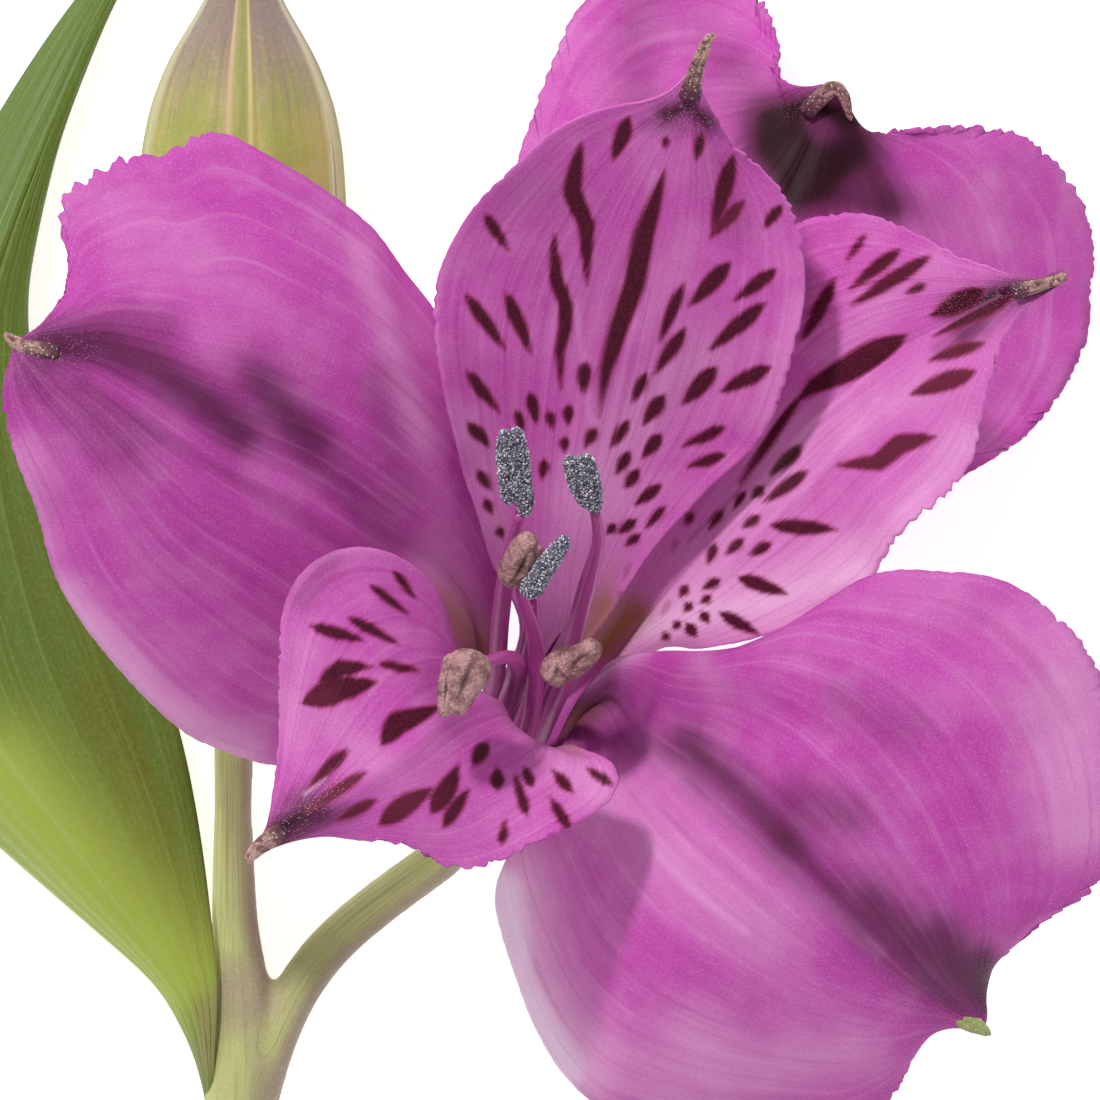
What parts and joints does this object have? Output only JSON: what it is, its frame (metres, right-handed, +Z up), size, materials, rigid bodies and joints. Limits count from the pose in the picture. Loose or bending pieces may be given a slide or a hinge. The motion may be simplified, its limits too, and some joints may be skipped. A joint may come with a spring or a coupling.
{
  "type": "alstroemeria stem",
  "caption": "Cut alstroemeria stem lying down, with one open flower of spotted magenta tepals, a closed bud on a forked stalk and slender leaves.",
  "frame": {"origin": "centre of the bounding box, at the height of the surface that the stem lies on", "axes": "+Z up from the surface, +Y along the stem from its cut end towards the flower and the bud"},
  "size_m": [0.1032, 0.1882, 0.0383],
  "materials": {
    "stem": "satin",
    "leaf": "satin",
    "ovary": "satin",
    "tepal_outer": "satin",
    "tepal_inner": "satin",
    "bud_tepal": "satin",
    "bud_inner": "satin",
    "filament": "satin",
    "pollen": "matte",
    "anther": "matte"
  },
  "bodies": {
    "root": {"stem": "stem", "leaf_at_fork": "leaf", "leaf_middle": "leaf", "leaf_lower": "leaf", "ovary": "ovary", "bud_ovary": "ovary", "tepal_outer_left": "tepal_outer", "tepal_outer_right": "tepal_outer", "tepal_outer_back": "tepal_outer", "tepal_inner_upper": "tepal_inner", "tepal_inner_right": "tepal_inner", "tepal_inner_front": "tepal_inner", "bud_tepal_upper": "bud_tepal", "bud_tepal_left": "bud_tepal", "bud_tepal_right": "bud_tepal", "bud_inner_tepals": "bud_inner", "filament_long_left": "filament", "filament_long_right": "filament", "filament_middle": "filament", "filament_low_left": "filament", "filament_low_right": "filament", "filament_hidden": "filament", "style": "filament", "anther_long_left": "pollen", "anther_long_right": "pollen", "anther_middle": "pollen", "anther_low_left": "anther", "anther_low_right": "anther", "anther_hidden": "anther"}
  },
  "joints": []
}
